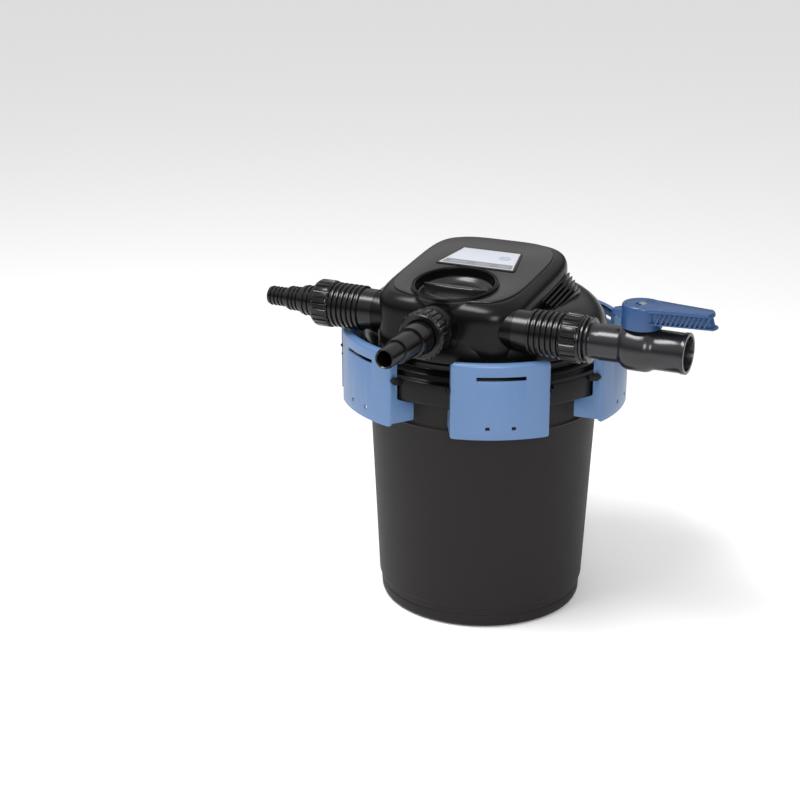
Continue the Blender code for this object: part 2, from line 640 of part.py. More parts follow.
# ---- selector knob -------------------------------------------------------------------
def selector_parts(knob):
    edge = KNOB_RADIUS
    dish = [(0.006, -0.0160), (edge - 0.0030, -0.0160), (edge, -0.0070),
            (edge - 0.0015, -0.0055), (edge - 0.0040, -0.0060), (edge - 0.0090, -0.0110),
            (0.006, -0.0120)]
    disc = turned(dish, MEDIUM_SIDES, wrap=False)
    reach = edge - 0.0045
    grip = skin([grip_loop(reach, 0.0085, -0.0125), grip_loop(reach, 0.0050, -0.0030),
                 grip_loop(reach * 0.97, 0.0030, 0.0005)])
    piece("selector_knob", moved(joined(disc, grip), knob_frame()), "head_plastic", knob)
    spindle = moved(rod(0.0060, -0.0290, -0.0163, TINY_SIDES), knob_frame())
    piece("knob_spindle", spindle, "steel", knob)
    rotor = rod(CHAMBER_RADIUS - 0.0035, 0.0060 - CHAMBER_DEPTH, -0.0294, MEDIUM_SIDES)
    channel = moved(rod(0.0100, -0.06, 0.06, TINY_SIDES), along((1, 0, 0), (0, -0.016, -0.0430)))
    piece("diverter_rotor", moved(cut(rotor, channel), knob_frame()), "white_plastic", knob)


def grip_loop(reach, half, z):
    """A long lens-shaped loop: the section of the grip bar at one height."""
    points = []
    for i in range(9):
        share = -1 + 2 * i / 8
        points.append((reach * share, -half * (1 - 0.55 * share ** 2)))
    for i in range(8, -1, -1):
        share = -1 + 2 * i / 8
        points.append((reach * share, half * (1 - 0.55 * share ** 2)))
    return [Vector((x, y, z)) for x, y in points]


# ---- clamps --------------------------------------------------------------------------
def clamp():
    """One clamp in its own frame: a curved plate, a top lip, a hooked foot, two side walls."""
    outer, inner = CLAMP_RADIUS, CLAMP_RADIUS - CLAMP_PLATE
    top, low = RIM + CLAMP_TOP, RIM + CLAMP_BOTTOM
    hook = RIM_RADIUS + FIT
    shelf = RING_LOW - 0.0085
    lip = inner - 0.0060
    profile = [(outer, low + 0.001), (outer, top - 0.001), (outer - 0.001, top), (lip, top),
               (lip, top - CLAMP_PLATE), (inner, top - CLAMP_PLATE), (inner, shelf + 0.0075),
               (hook, shelf), (hook, shelf - CLAMP_PLATE), (inner, shelf + 0.0045),
               (inner, low), (outer - 0.001, low)]
    steps = 5
    loops = []
    for i in range(steps + 1):
        turn = -CLAMP_HALF_ANGLE + 2 * CLAMP_HALF_ANGLE * i / steps
        loops.append([Vector((r * math.cos(turn), r * math.sin(turn), z)) for r, z in profile])
    shape = skin(loops)
    side = clamp_side()
    depth = math.sqrt(outer ** 2 - side ** 2)
    walls = []
    ring_edge = math.sqrt((RING_RADIUS + FIT) ** 2 - (side - CLAMP_PLATE) ** 2)
    hook_edge = math.sqrt(hook ** 2 - (side - CLAMP_PLATE) ** 2)
    outline = [(depth + 0.0005, low + 0.002), (depth + 0.0005, top - 0.002),
               (depth - 0.008, top - 0.001), (ring_edge, top - 0.006),
               (ring_edge, RING_LOW - 0.001), (hook_edge, shelf - 0.001), (hook_edge, low)]
    for sign in (-1, 1):
        ys = (sign * (side - CLAMP_PLATE), sign * side)
        walls.append(skin([[Vector((x, y, z)) for x, z in outline] for y in ys]))
    shape = joined(shape, *walls)
    slot = block((inner - 0.02, -0.031, top - 0.0215), (outer + 0.01, 0.031, top - 0.0165))
    pegs = [block((inner - 0.02, y - 0.0027, low + 0.0125), (outer + 0.01, y + 0.0027, low + 0.0170))
            for y in (-0.0165, 0.0165)]
    holes = moved(rod(PIN_RADIUS + RUN, -side - 0.01, side + 0.01, TINY_SIDES),
                  along((0, 1, 0), (PIVOT_RADIUS, 0, PIVOT_Z)))
    return cut(shape, slot, *pegs, holes)


def clamp_parts(head):
    shape = clamp()
    for number, angle in enumerate(clamp_angles()):
        turn = clamp_frame(angle)
        carrier = pivot(f"clamp_pivot_{number + 1}", turn @ Vector((PIVOT_RADIUS, 0, PIVOT_Z)), head)
        piece(f"clamp_{number + 1}", moved(shape.copy(), turn), "clamp_plastic", carrier)
    shape.free()


# ---- unions, hose tails and valve ----------------------------------------------------
def union_nut(start):
    """A ribbed nut, open at the neck side and lipped at the hose side."""
    bore = PORT_PIPE_RADIUS + 0.0012 + FIT
    lip_bore = TAIL_RADIUS + RUN + 0.0004
    seat = start + GAP + THREAD_LENGTH + WASHER_THICKNESS + TAIL_FLANGE + 3 * GAP
    end = start + NUT_LENGTH
    count = NUT_RIBS * 2

    def ribbed(z, shrink=0.0):
        return circle(NUT_RADIUS - shrink, z, count, 0.0016, NUT_RIBS)
    loops = [circle(bore, start + GAP, count), circle(NUT_RADIUS - 0.0018, start + GAP, count),
             ribbed(start + 0.0015), ribbed(end - 0.0020), circle(NUT_RADIUS - 0.0025, end, count),
             circle(lip_bore, end, count), circle(lip_bore, seat, count), circle(bore, seat, count)]
    return skin(loops, wrap=True)


def washer(start):
    low = start + THREAD_LENGTH + GAP
    high, outside = low + WASHER_THICKNESS, PORT_PIPE_RADIUS + 0.0010
    return turned([(NECK_BORE, low), (outside, low), (outside, high), (NECK_BORE, high)], SMALL_SIDES)


def tail_root(start):
    """The flange that a union nut pulls in, and the tube through the nut's lip."""
    low = start + THREAD_LENGTH + WASHER_THICKNESS + 2 * GAP
    flange = PORT_PIPE_RADIUS + 0.0010
    high = low + TAIL_FLANGE
    return low, [(NECK_BORE - 0.003, low), (flange, low), (flange, high), (TAIL_RADIUS, high)]


def hose_tail(start, steps, barbs=1):
    """A stepped hose tail: each step is a row of barbs narrower than the one before."""
    low, profile = tail_root(start)
    z = start + NUT_LENGTH + 0.0015
    profile.append((TAIL_RADIUS, z - 0.001))
    for radius, length in steps:
        pitch = length / (barbs + 1)
        profile += [(radius - 0.0008, z)]
        for i in range(barbs):
            profile += [(radius - 0.0012, z + pitch * i + 0.0004), (radius, z + pitch * (i + 0.8)),
                        (radius - 0.0012, z + pitch * (i + 1))]
        z += length
        profile += [(radius - 0.0012, z)]
    wall = 0.0028
    profile += [(steps[-1][0] - wall, z), (steps[-1][0] - wall, z - steps[-1][1])]
    profile += [(NECK_BORE - 0.003, start + NUT_LENGTH)]
    return turned(profile, SMALL_SIDES)


def valve_tail(start):
    """The union tail that carries the valve, with its two thin rings."""
    low, profile = tail_root(start)
    z = start + NUT_LENGTH + 0.0010
    thin = SLEEVE_RADIUS - 0.0008
    waist, stub = TAIL_RADIUS + 0.0020, VALVE_BORE - 0.0008
    profile += [(TAIL_RADIUS, z), (thin, z + 0.0003), (thin, z + 0.0026), (waist, z + 0.0030),
                (waist, z + 0.0056), (thin, z + 0.0060), (thin, z + 0.0086),
                (TAIL_RADIUS + 0.0015, z + 0.0090), (TAIL_RADIUS + 0.0015, VALVE_START - GAP),
                (stub, VALVE_START - GAP), (stub, VALVE_START + 0.020),
                (VALVE_BORE - 0.0030, VALVE_START + 0.020), (NECK_BORE - 0.003, VALVE_START - 0.004)]
    return turned(profile, SMALL_SIDES)


def valve_body():
    """The valve's body along +Z: pipe end, round belly, socket for the pond pipe."""
    end = VALVE_START + VALVE_LENGTH
    pipe, socket = PORT_PIPE_RADIUS, PORT_PIPE_RADIUS + 0.0020
    room = VALVE_BALL_RADIUS + 0.0010
    outer = [(pipe, VALVE_START), (pipe, BALL_AT - 0.0225), (BULGE - 0.002, BALL_AT - 0.0170),
             (BULGE, BALL_AT - 0.0100), (BULGE, BALL_AT + 0.0100), (BULGE - 0.002, BALL_AT + 0.0160),
             (socket, BALL_AT + 0.0200), (socket, end - 0.0060),
             (socket + 0.0008, end - 0.0050), (socket + 0.0008, end)]
    inner = [(socket - 0.0035, end), (socket - 0.0040, end - 0.030), (VALVE_BORE, end - 0.030),
             (VALVE_BORE, BALL_AT + 0.0175), (room, BALL_AT + 0.0175), (room, BALL_AT - 0.0175),
             (VALVE_BORE, BALL_AT - 0.0175), (VALVE_BORE, VALVE_START)]
    return turned(outer + inner, SMALL_SIDES + 2)


def valve_seat(side):
    near, far = 0.0135, 0.0172
    place = sorted((BALL_AT + side * near, BALL_AT + side * far))
    bore = math.sqrt(VALVE_BALL_RADIUS ** 2 - near ** 2) + 0.0004
    return turned([(bore, place[0]), (VALVE_BALL_RADIUS, place[0]), (VALVE_BALL_RADIUS, place[1]),
                   (bore, place[1])], SMALL_SIDES)


def valve_ball():
    """A ball with its through bore, at the origin, bored along X."""
    steps = 6
    profile = []
    bore = VALVE_BALL_RADIUS * 0.60
    reach = math.acos(bore / VALVE_BALL_RADIUS)
    for i in range(steps + 1):
        a = -reach + 2 * reach * i / steps
        profile.append((VALVE_BALL_RADIUS * math.cos(a), VALVE_BALL_RADIUS * math.sin(a)))
    return moved(turned(profile, SMALL_SIDES), along((1, 0, 0), (0, 0, 0)))


def lever_arm(low, high, start, root, inset=0.0):
    """The arm between two heights, narrowing to a tip that slopes out towards the lower one."""
    def loop(z):
        lean = 0.0080 * (z - (HUB_HEIGHT - LEVER_HEIGHT)) / LEVER_HEIGHT
        tip = LEVER_LENGTH - lean - inset
        side = [(start, root), (LEVER_LENGTH * 0.40, 0.0165 - inset),
                (tip - 0.004, 0.0108 - inset), (tip, 0.0080 - inset)]
        return [Vector((x, -y, z)) for x, y in side] + [Vector((x, y, z)) for x, y in reversed(side)]
    arm = skin([loop(low), loop(high)])
    bmesh.ops.triangulate(arm, faces=arm.faces)
    return arm


def lever():
    """The valve's lever about its hub at the origin: a hollow hub, a hollow arm, a nose."""
    hub = turned([(HUB_RADIUS, 0.0), (HUB_RADIUS, HUB_HEIGHT - 0.0015),
                  (HUB_RADIUS - 0.0020, HUB_HEIGHT)], MEDIUM_SIDES, wrap=False)
    under = HUB_HEIGHT - LEVER_HEIGHT
    arm = lever_arm(under, HUB_HEIGHT - 0.0004, 0.0040, HUB_RADIUS - 0.0014)
    nose = skin([[Vector((x, y, z)) for y, z in ((-w, low), (w, low), (w, top), (-w, top))]
                 for x, w, low, top in ((-HUB_RADIUS + 0.0012, 0.0110, 0.0070, 0.0230),
                                        (-HUB_RADIUS - 0.0120, 0.0060, 0.0130, 0.0200))])
    room = rod(HUB_RADIUS - LEVER_WALL, -0.001, HUB_ROOM, MEDIUM_SIDES)
    channel = lever_arm(under - 0.001, HUB_HEIGHT - LEVER_WALL, HUB_RADIUS + 0.0015, 0.0152, LEVER_WALL)
    socket = rod(STEM_RADIUS + RUN, 0.0, HUB_ROOM + 0.0085, TINY_SIDES)
    screw_hole = rod(0.0024, 0.0, HUB_HEIGHT + 0.01, TINY_SIDES)
    recess = rod(0.0056, HUB_HEIGHT - 0.0032, HUB_HEIGHT + 0.01, TINY_SIDES)
    return cut(joined(hub, arm, nose), channel, room, socket, screw_hole, recess)


def outlet_parts(head):
    axis = along((1, 0, 0), (0, PORT_Y, PORT_Z))
    start = COLLAR_END + SLEEVE_LENGTH
    tail = pivot("outlet_slide_axis", (start, PORT_Y, PORT_Z), head)
    piece("right_washer", moved(washer(start), axis), "rubber", tail)
    piece("valve_tail", moved(valve_tail(start), axis), "fitting_plastic", tail)
    nut = pivot("outlet_nut_axis", (start, PORT_Y, PORT_Z), tail)
    piece("right_union_nut", moved(union_nut(start), axis), "fitting_plastic", nut)
    top = BULGE + 0.0035
    boss = rod(0.0120, VALVE_BALL_RADIUS + 0.0040, top, SMALL_SIDES)
    moved(boss, Matrix.Translation((BALL_AT, PORT_Y, PORT_Z)))
    hole = moved(rod(STEM_RADIUS + RUN, 0.0, top + 0.01, TINY_SIDES),
                 Matrix.Translation((BALL_AT, PORT_Y, PORT_Z)))
    piece("valve_body", cut(joined(moved(valve_body(), axis), boss), hole), "valve_plastic", tail)
    for name, side in (("inlet_ball_seat", -1), ("outlet_ball_seat", 1)):
        piece(name, moved(valve_seat(side), axis), "white_plastic", tail)
    lever_parts(tail)


def lever_parts(tail):
    centre = Vector((BALL_AT, PORT_Y, PORT_Z))
    carrier = pivot("lever_axis", centre, tail)
    piece("valve_ball", moved(valve_ball(), Matrix.Translation(centre)), "white_plastic", carrier)
    base = PORT_PIPE_RADIUS + 0.0030
    stem_top = base + HUB_ROOM + 0.0082
    stem = moved(rod(STEM_RADIUS, VALVE_BALL_RADIUS + GAP, stem_top, TINY_SIDES), Matrix.Translation(centre))
    piece("valve_stem", stem, "steel", carrier)
    seat = Matrix.Translation(centre + Vector((0, 0, base)))
    piece("valve_lever", moved(lever(), seat), "lever_plastic", carrier)
    head = rod(0.0050, HUB_HEIGHT - 0.0030, HUB_HEIGHT - 0.0002, TINY_SIDES)
    screw = joined(head, rod(0.0018, HUB_ROOM + 0.0090, HUB_HEIGHT - 0.0025, TINY_SIDES))
    piece("lever_screw", moved(screw, seat), "steel", carrier)


def hose_parts(head, name, direction, origin, start, steps):
    axis = along(direction, origin)
    place = axis @ Vector((0, 0, start))
    tail = pivot(f"{name}_slide_axis", place, head)
    piece(f"{name}_washer", moved(washer(start), axis), "rubber", tail)
    piece(f"{name}_hose_tail", moved(hose_tail(start, steps), axis), "fitting_plastic", tail)
    nut = pivot(f"{name}_nut_axis", place, tail)
    piece(f"{name}_union_nut", moved(union_nut(start), axis), "fitting_plastic", nut)


def build():
    clear_scene()
    standing_parts()
    head = pivot("head_axis", (0, 0, RIM))
    head_parts(head)
    knob = pivot("knob_axis", knob_frame().translation, head)
    selector_parts(knob)
    clamp_parts(head)
    hose_parts(head, "left", (-1, 0, 0), (0, PORT_Y, PORT_Z), COLLAR_END + SLEEVE_LENGTH, HOSE_STEPS)
    hose_parts(head, "front", (0, -1, 0), (0, HOOD_FRONT, PORT_Z), FRONT_NECK, FRONT_STEPS)
    outlet_parts(head)


build()
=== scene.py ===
from math import atan, atan2, cos, hypot, pi, radians, sin, sqrt, tan

import bmesh
import bpy
from mathutils import Matrix, Vector


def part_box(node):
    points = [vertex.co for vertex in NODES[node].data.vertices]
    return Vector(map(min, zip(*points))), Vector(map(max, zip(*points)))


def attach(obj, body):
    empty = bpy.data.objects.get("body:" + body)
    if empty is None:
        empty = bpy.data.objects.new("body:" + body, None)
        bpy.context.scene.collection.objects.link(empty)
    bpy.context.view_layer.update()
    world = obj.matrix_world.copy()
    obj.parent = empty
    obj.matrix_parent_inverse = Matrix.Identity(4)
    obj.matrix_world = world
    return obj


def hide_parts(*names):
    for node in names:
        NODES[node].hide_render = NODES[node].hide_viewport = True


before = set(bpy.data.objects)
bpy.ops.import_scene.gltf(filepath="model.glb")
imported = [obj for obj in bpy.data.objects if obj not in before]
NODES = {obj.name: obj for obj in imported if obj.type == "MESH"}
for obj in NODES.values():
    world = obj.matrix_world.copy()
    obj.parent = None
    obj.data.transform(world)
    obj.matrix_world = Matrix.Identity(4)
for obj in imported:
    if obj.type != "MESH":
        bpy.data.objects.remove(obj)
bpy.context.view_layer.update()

SIDES = 96

# Sizes of the assembly, in metres.
HOOD_Y = -0.0355
HOOD_HALF = (0.1000, 0.1165)
HOOD_TILT = atan(0.13343)
KNOB_AT = Vector((0.0, -0.0955, 0.45426))
PORT_Y, PORT_Z = -0.118, 0.4165
LEVER_X = 0.2535
BOSS_RADIUS = 0.0557
FASCIA_INSET = 0.0140
LABEL_HALF_WIDTH, LABEL_HALF_DEPTH, LABEL_TAPER = 0.0495, 0.031, 0.0070
LABEL_Y = -0.006
BAND_EDGE = -0.0125
CLAMP_DIRECTIONS = (-60, 4, 56, 120, 184, 236)
PIN_X, PIN_Z = 0.1725, 0.347


def hood_top(y):
    """Height of the hood's sloping top at y."""
    return KNOB_AT.z + (y - KNOB_AT.y) * tan(HOOD_TILT)


# ---------------------------------------------------------------- shader maths

class Signal:
    """A value in a shader that adds, multiplies and compares as a number does."""

    def __init__(self, paint, socket):
        self.paint, self.socket = paint, socket

    def _with(self, kind, other, flip=False):
        pair = (other, self) if flip else (self, other)
        return self.paint.node("ShaderNodeMath", {"operation": kind}, dict(enumerate(pair)))

    def __add__(self, other):
        return self._with("ADD", other)

    def __radd__(self, other):
        return self._with("ADD", other, True)

    def __sub__(self, other):
        return self._with("SUBTRACT", other)

    def __rsub__(self, other):
        return self._with("SUBTRACT", other, True)

    def __mul__(self, other):
        return self._with("MULTIPLY", other)

    def __rmul__(self, other):
        return self._with("MULTIPLY", other, True)

    def __lt__(self, other):
        return self._with("LESS_THAN", other)

    def __gt__(self, other):
        return self._with("GREATER_THAN", other)

    def __abs__(self):
        return self._with("ABSOLUTE", 0.0)

    def least(self, other):
        return self._with("MINIMUM", other)

    def most(self, other):
        return self._with("MAXIMUM", other)


class Paint:
    """A procedural material: node() makes every node in it."""

    def __init__(self, name, color, roughness, coat=0.0, metallic=0.0, shine=0.5):
        self.material = bpy.data.materials.new(name)
        self.material.use_nodes = True
        self.tree = self.material.node_tree
        self.shader = self.tree.nodes["Principled BSDF"]
        self.shader.inputs["Base Color"].default_value = (*color, 1.0)
        self.shader.inputs["Roughness"].default_value = roughness
        self.shader.inputs["Coat Weight"].default_value = coat
        self.shader.inputs["Coat Roughness"].default_value = 0.12
        self.shader.inputs["Metallic"].default_value = metallic
        self.shader.inputs["Specular IOR Level"].default_value = shine
        self.color, self.roughness = color, roughness

    def feed(self, socket, value):
        if isinstance(value, Signal):
            self.tree.links.new(value.socket, socket)
        elif socket.type == "RGBA" and len(value) == 3:
            socket.default_value = (*value, 1.0)
        else:
            socket.default_value = value

    def node(self, kind, settings=(), sockets=(), out=0):
        made = self.tree.nodes.new(kind)
        for key, value in dict(settings).items():
            setattr(made, key, value)
        for key, value in dict(sockets).items():
            self.feed(made.inputs[key], value)
        return Signal(self, made.outputs[out])

    def place(self):
        """The piece's own coordinates, in metres."""
        return self.node("ShaderNodeTexCoord", out="Object")

    def noise(self, scale, detail=2.0, at=None):
        return self.node("ShaderNodeTexNoise", {}, {"Vector": at or self.place(), "Scale": scale,
                                                    "Detail": detail})

    def blend(self, factor, a, b):
        return self.node("ShaderNodeMix", {"data_type": "RGBA"}, {0: factor, 6: a, 7: b}, out=2)

    def bump(self, height, strength, depth):
        self.feed(self.shader.inputs["Normal"],
                  self.node("ShaderNodeBump", {}, {"Height": height, "Strength": strength,
                                                   "Distance": depth}))

    def moulded(self, grain=2600.0, strength=0.12, depth=0.0002, cloud=0.05, tint=0.10):
        """The skin of a moulded part: fine grain, cloudy gloss and slight colour drift."""
        broad = self.noise(14.0, 3.0)
        fine = self.noise(grain, 2.0)
        self.feed(self.shader.inputs["Roughness"], self.roughness + (broad - 0.5) * (2 * cloud))
        light = tuple(c * (1 + tint) for c in self.color)
        dark = tuple(c * (1 - tint) for c in self.color)
        self.feed(self.shader.inputs["Base Color"], self.blend(broad, dark, light))
        self.bump(fine, strength, depth)
        return self


def foam(name, color):
    """Open-cell foam: pits and struts, the pits darkened with painted shade and the struts painted
    lighter.
    """
    p = Paint(name, color, 0.95)
    cells = p.node("ShaderNodeTexVoronoi", {"feature": "DISTANCE_TO_EDGE"},
                   {"Vector": p.place(), "Scale": 520.0})
    pit_depth_and_shade = (cells * 3.0).least(1.0)
    # Painted shade and painted light: the pits take a quarter of the foam's own colour and the struts
    # half again as much; the same mask also sets the pit depth of the bump.
    p.feed(p.shader.inputs["Base Color"],
           p.blend(pit_depth_and_shade, tuple(c * 1.5 for c in color), tuple(c * 0.25 for c in color)))
    p.bump(1.0 - pit_depth_and_shade, 0.8, 0.0012)
    return p


PAINTS = {
    "canister_plastic": Paint("canister", (0.0100, 0.0082, 0.0080), 0.56,
                              shine=0.20).moulded(2200.0, 0.35, 0.0003),
    "head_plastic": Paint("head", (0.0022, 0.0021, 0.0021), 0.25,
                          shine=0.18).moulded(1500.0, 0.05, 0.0001),
    "fascia_plastic": Paint("fascia", (0.0080, 0.0080, 0.0080), 0.26,
                            shine=0.4).moulded(1500.0, 0.04, 0.0001),
    "fitting_plastic": Paint("fitting", (0.0040, 0.0034, 0.0034), 0.21,
                             shine=0.32).moulded(1800.0, 0.10, 0.0001),
    "clamp_plastic": Paint("clamp", (0.078, 0.153, 0.300), 0.36).moulded(1800.0, 0.12, 0.0001,
                                                                         0.04, 0.05),
    "lever_plastic": Paint("lever", (0.013, 0.050, 0.142), 0.33).moulded(1800.0, 0.10, 0.0001,
                                                                         0.04, 0.05),
    "valve_plastic": Paint("valve", (0.0110, 0.0103, 0.0122), 0.20,
                           shine=0.42).moulded(1500.0, 0.06, 0.0001),
    "rubber": Paint("rubber", (0.012, 0.012, 0.012), 0.75).moulded(3000.0, 0.2),
    "foam_black": foam("foam black", (0.03, 0.03, 0.032)),
    "foam_blue": foam("foam blue", (0.06, 0.16, 0.42)),
    "foam_green": foam("foam green", (0.11, 0.24, 0.09)),
    "media_plastic": Paint("media", (0.09, 0.11, 0.16), 0.5).moulded(),
    "quartz": Paint("quartz", (0.86, 0.90, 0.92), 0.06,
                    coat=0.5).moulded(200.0, 0.02, 0.0001, 0.02, 0.02),
    "lamp_white": Paint("lamp", (0.82, 0.83, 0.86), 0.25).moulded(900.0, 0.03, 0.0001),
    "steel": Paint("steel", (0.55, 0.55, 0.56), 0.28,
                   metallic=1.0).moulded(1800.0, 0.06, 0.0001),
    "white_plastic": Paint("white", (0.72, 0.72, 0.70), 0.40).moulded(),
}


def label_paint():
    """Printed film: pale field, grey band, thin frame and dark edge, with plain marks."""
    p = Paint("label", (0.40, 0.41, 0.44), 0.38, shine=0.3)
    split = p.tree.nodes.new("ShaderNodeSeparateXYZ")
    p.feed(split.inputs[0], p.node("ShaderNodeUVMap", {"uv_map": "film"}))
    u, v = Signal(p, split.outputs[0]), Signal(p, split.outputs[1])

    def bar(x, y, w, h):
        return (abs(u - x) < w) * (abs(v - y) < h)

    white, grey, black = (0.40, 0.41, 0.45), (0.150, 0.160, 0.175), (0.006, 0.006, 0.007)
    rim = 1.0 - (abs(u) < 0.0462) * (abs(v) < 0.0277)
    band = v < BAND_EDGE
    inner = (abs(u) < 0.0440) * (abs(v) < 0.0257)
    marks = bar(-0.026, -0.019, 0.011, 0.0010)
    for x, y, w in ((0.004, -0.017, 0.009), (0.004, -0.021, 0.009), (0.030, -0.017, 0.008),
                    (0.030, -0.021, 0.008)):
        marks = marks.most(bar(x, y, w, 0.0006))
    drops = bar(0.026, 0.006, 0.0100, 0.0012)
    for x, y, w in ((0.026, 0.001, 0.0075), (0.026, 0.011, 0.0075)):
        drops = drops.most(bar(x, y, w, 0.0008))
    color = p.blend(band, white, grey)
    color = p.blend(marks * band, color, (0.26, 0.27, 0.29))
    color = p.blend(drops * (v > BAND_EDGE), color, (0.16, 0.19, 0.30))
    color = p.blend(inner, (0.36, 0.37, 0.39), color)
    color = p.blend(rim, color, black)
    p.feed(p.shader.inputs["Base Color"], color)
    p.bump(p.noise(900.0), 0.03, 0.0001)
    return p


PAINTS["label_film"] = label_paint()


# ---------------------------------------------------------------- mesh helpers

def give(name, bm, body, slot, nodes=(), smooth=32.0, move=None):
    """The finished piece from bm, riding with its body."""
    if move is not None:
        bm.transform(move)
    bmesh.ops.remove_doubles(bm, verts=bm.verts, dist=1e-6)
    bmesh.ops.recalc_face_normals(bm, faces=bm.faces)
    mesh = bpy.data.meshes.new(name)
    bm.to_mesh(mesh)
    bm.free()
    mesh.shade_smooth()
    mesh.set_sharp_from_angle(angle=radians(smooth))
    piece = bpy.data.objects.new(name, mesh)
    bpy.context.scene.collection.objects.link(piece)
    mesh.materials.append(PAINTS[slot].material)
    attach(piece, body)
    if nodes:
        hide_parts(*nodes)
    return piece


def soften(bm, width, angle=28.0, segments=3):
    """Round the edges of bm that turn by more than angle."""
    bmesh.ops.remove_doubles(bm, verts=bm.verts, dist=1e-6)
    bmesh.ops.recalc_face_normals(bm, faces=bm.faces)
    edges = [e for e in bm.edges if len(e.link_faces) == 2
             and e.calc_face_angle(0.0) > radians(angle)]
    if edges:
        bmesh.ops.bevel(bm, geom=edges, offset=width, segments=segments, profile=0.5,
                        affect="EDGES", clamp_overlap=True, material=-1)


def turned(profile, sides=SIDES, closed=True, round_by=0.0, angle=28.0):
    """A solid of revolution about Z from (radius, height) points."""
    bm = bmesh.new()
    line = [bm.verts.new((r, 0.0, h)) for r, h in profile]
    edges = [bm.edges.new(pair) for pair in zip(line, line[1:])]
    if closed:
        edges.append(bm.edges.new((line[-1], line[0])))
    bmesh.ops.spin(bm, geom=line + edges, cent=(0, 0, 0), axis=(0, 0, 1), angle=2 * pi,
                   steps=sides, use_merge=True)
    bmesh.ops.remove_doubles(bm, verts=bm.verts, dist=1e-6)
    bmesh.ops.recalc_face_normals(bm, faces=bm.faces)
    if round_by:
        soften(bm, round_by, angle)
    return bm


def lofted(levels, count=SIDES, caps=(True, True)):
    """A skin through loops: each level gives the place of the point at an angle."""
    bm = bmesh.new()
    turn = bm.verts.layers.float.new("turn")
    ring = bmesh.ops.create_circle(bm, segments=count, radius=1.0)["verts"]
    for v in ring:
        v[turn] = atan2(v.co.y, v.co.x)
        v.co = levels[0](v[turn])
    edges = list({e for v in ring for e in v.link_edges})
    first = list(edges)
    for level in levels[1:]:
        grown = bmesh.ops.extrude_edge_only(bm, edges=edges)["geom"]
        fresh = {g for g in grown if isinstance(g, bmesh.types.BMVert)}
        for v in fresh:
            v.co = level(v[turn])
        edges = [e for e in bm.edges if e.verts[0] in fresh and e.verts[1] in fresh]
    if caps[0]:
        bmesh.ops.contextual_create(bm, geom=first)
    if caps[1]:
        bmesh.ops.contextual_create(bm, geom=edges)
    bmesh.ops.recalc_face_normals(bm, faces=bm.faces)
    return bm


def block(low, high, width=0.0, segments=3):
    """A box from corner to corner with rounded edges."""
    bm = bmesh.new()
    bmesh.ops.create_cube(bm, size=1.0)
    low, high = Vector(low), Vector(high)
    bmesh.ops.transform(bm, matrix=Matrix.Translation((low + high) / 2)
                        @ Matrix.Diagonal((*(high - low), 1.0)), verts=bm.verts)
    if width:
        soften(bm, width, segments=segments)
    return bm


def slab(points, low, high, corner=0.0, rim=0.0, segments=4):
    """A plate from its outline in plan, with rounded corners and rims."""
    bm = bmesh.new()
    face = bm.faces.new([bm.verts.new((x, y, low)) for x, y in points])
    top = bmesh.ops.extrude_face_region(bm, geom=[face])["geom"]
    bmesh.ops.translate(bm, vec=(0, 0, high - low),
                        verts=[g for g in top if isinstance(g, bmesh.types.BMVert)])
    bmesh.ops.recalc_face_normals(bm, faces=bm.faces)
    if corner:
        upright = [e for e in bm.edges if abs(e.verts[0].co.z - e.verts[1].co.z) > 1e-5]
        bmesh.ops.bevel(bm, geom=upright, offset=corner, segments=segments, profile=0.5,
                        affect="EDGES", clamp_overlap=True, material=-1)
    if rim:
        soften(bm, rim, 60.0, 3)
    return bm


def cut(bm, *cutters):
    """bm with the cutters taken away; every solid closed."""
    def as_object(b):
        mesh = bpy.data.meshes.new("tool")
        b.to_mesh(mesh)
        b.free()
        o = bpy.data.objects.new("tool", mesh)
        bpy.context.scene.collection.objects.link(o)
        return o
    body = as_object(bm)
    tools = [as_object(c) for c in cutters]
    for tool in tools:
        m = body.modifiers.new("cut", "BOOLEAN")
        m.operation, m.solver, m.object = "DIFFERENCE", "EXACT", tool
    bpy.context.view_layer.update()
    whole = body.evaluated_get(bpy.context.evaluated_depsgraph_get())
    made = bmesh.new()
    made.from_mesh(whole.to_mesh())
    whole.to_mesh_clear()
    for o in [body] + tools:
        mesh = o.data
        bpy.data.objects.remove(o)
        bpy.data.meshes.remove(mesh)
    return made


def joined(*parts):
    """Several bmeshes in one."""
    whole = bmesh.new()
    for part in parts:
        mesh = bpy.data.meshes.new("part")
        part.to_mesh(mesh)
        part.free()
        whole.from_mesh(mesh)
        bpy.data.meshes.remove(mesh)
    return whole


TO_KNOB = Matrix.Translation(KNOB_AT) @ Matrix.Rotation(HOOD_TILT, 4, "X")
ALONG_RIGHT = Matrix.Translation((0, PORT_Y, PORT_Z)) @ Matrix.Rotation(pi / 2, 4, "Y")
ALONG_LEFT = Matrix.Translation((0, PORT_Y, PORT_Z)) @ Matrix.Rotation(-pi / 2, 4, "Y")
ALONG_FRONT = Matrix.Translation((0, 0, PORT_Z)) @ Matrix.Rotation(pi / 2, 4, "X")

# ---------------------------------------------------------------- canister

wall = [(0, 0.002), (0.118, 0.002), (0.120, 0.0), (0.1278, 0.0), (0.1340, 0.0025), (0.1358, 0.0065),
        (0.1364, 0.0170), (0.1358, 0.0176), (0.1358, 0.0188), (0.1366, 0.0194),
        (0.1370, 0.0280), (0.1392, 0.0300), (0.151, 0.278), (0.1535, 0.2810), (0.1515, 0.284),
        (0.1515, 0.317), (0.1545, 0.3185), (0.1545, 0.345), (0.1485, 0.345), (0.1485, 0.281),
        (0.134, 0.028), (0.1298, 0.005), (0, 0.005)]
give("canister_shell", turned(wall, 144, closed=False, round_by=0.0006), "base",
     "canister_plastic", ["canister"])

# ---------------------------------------------------------------- head

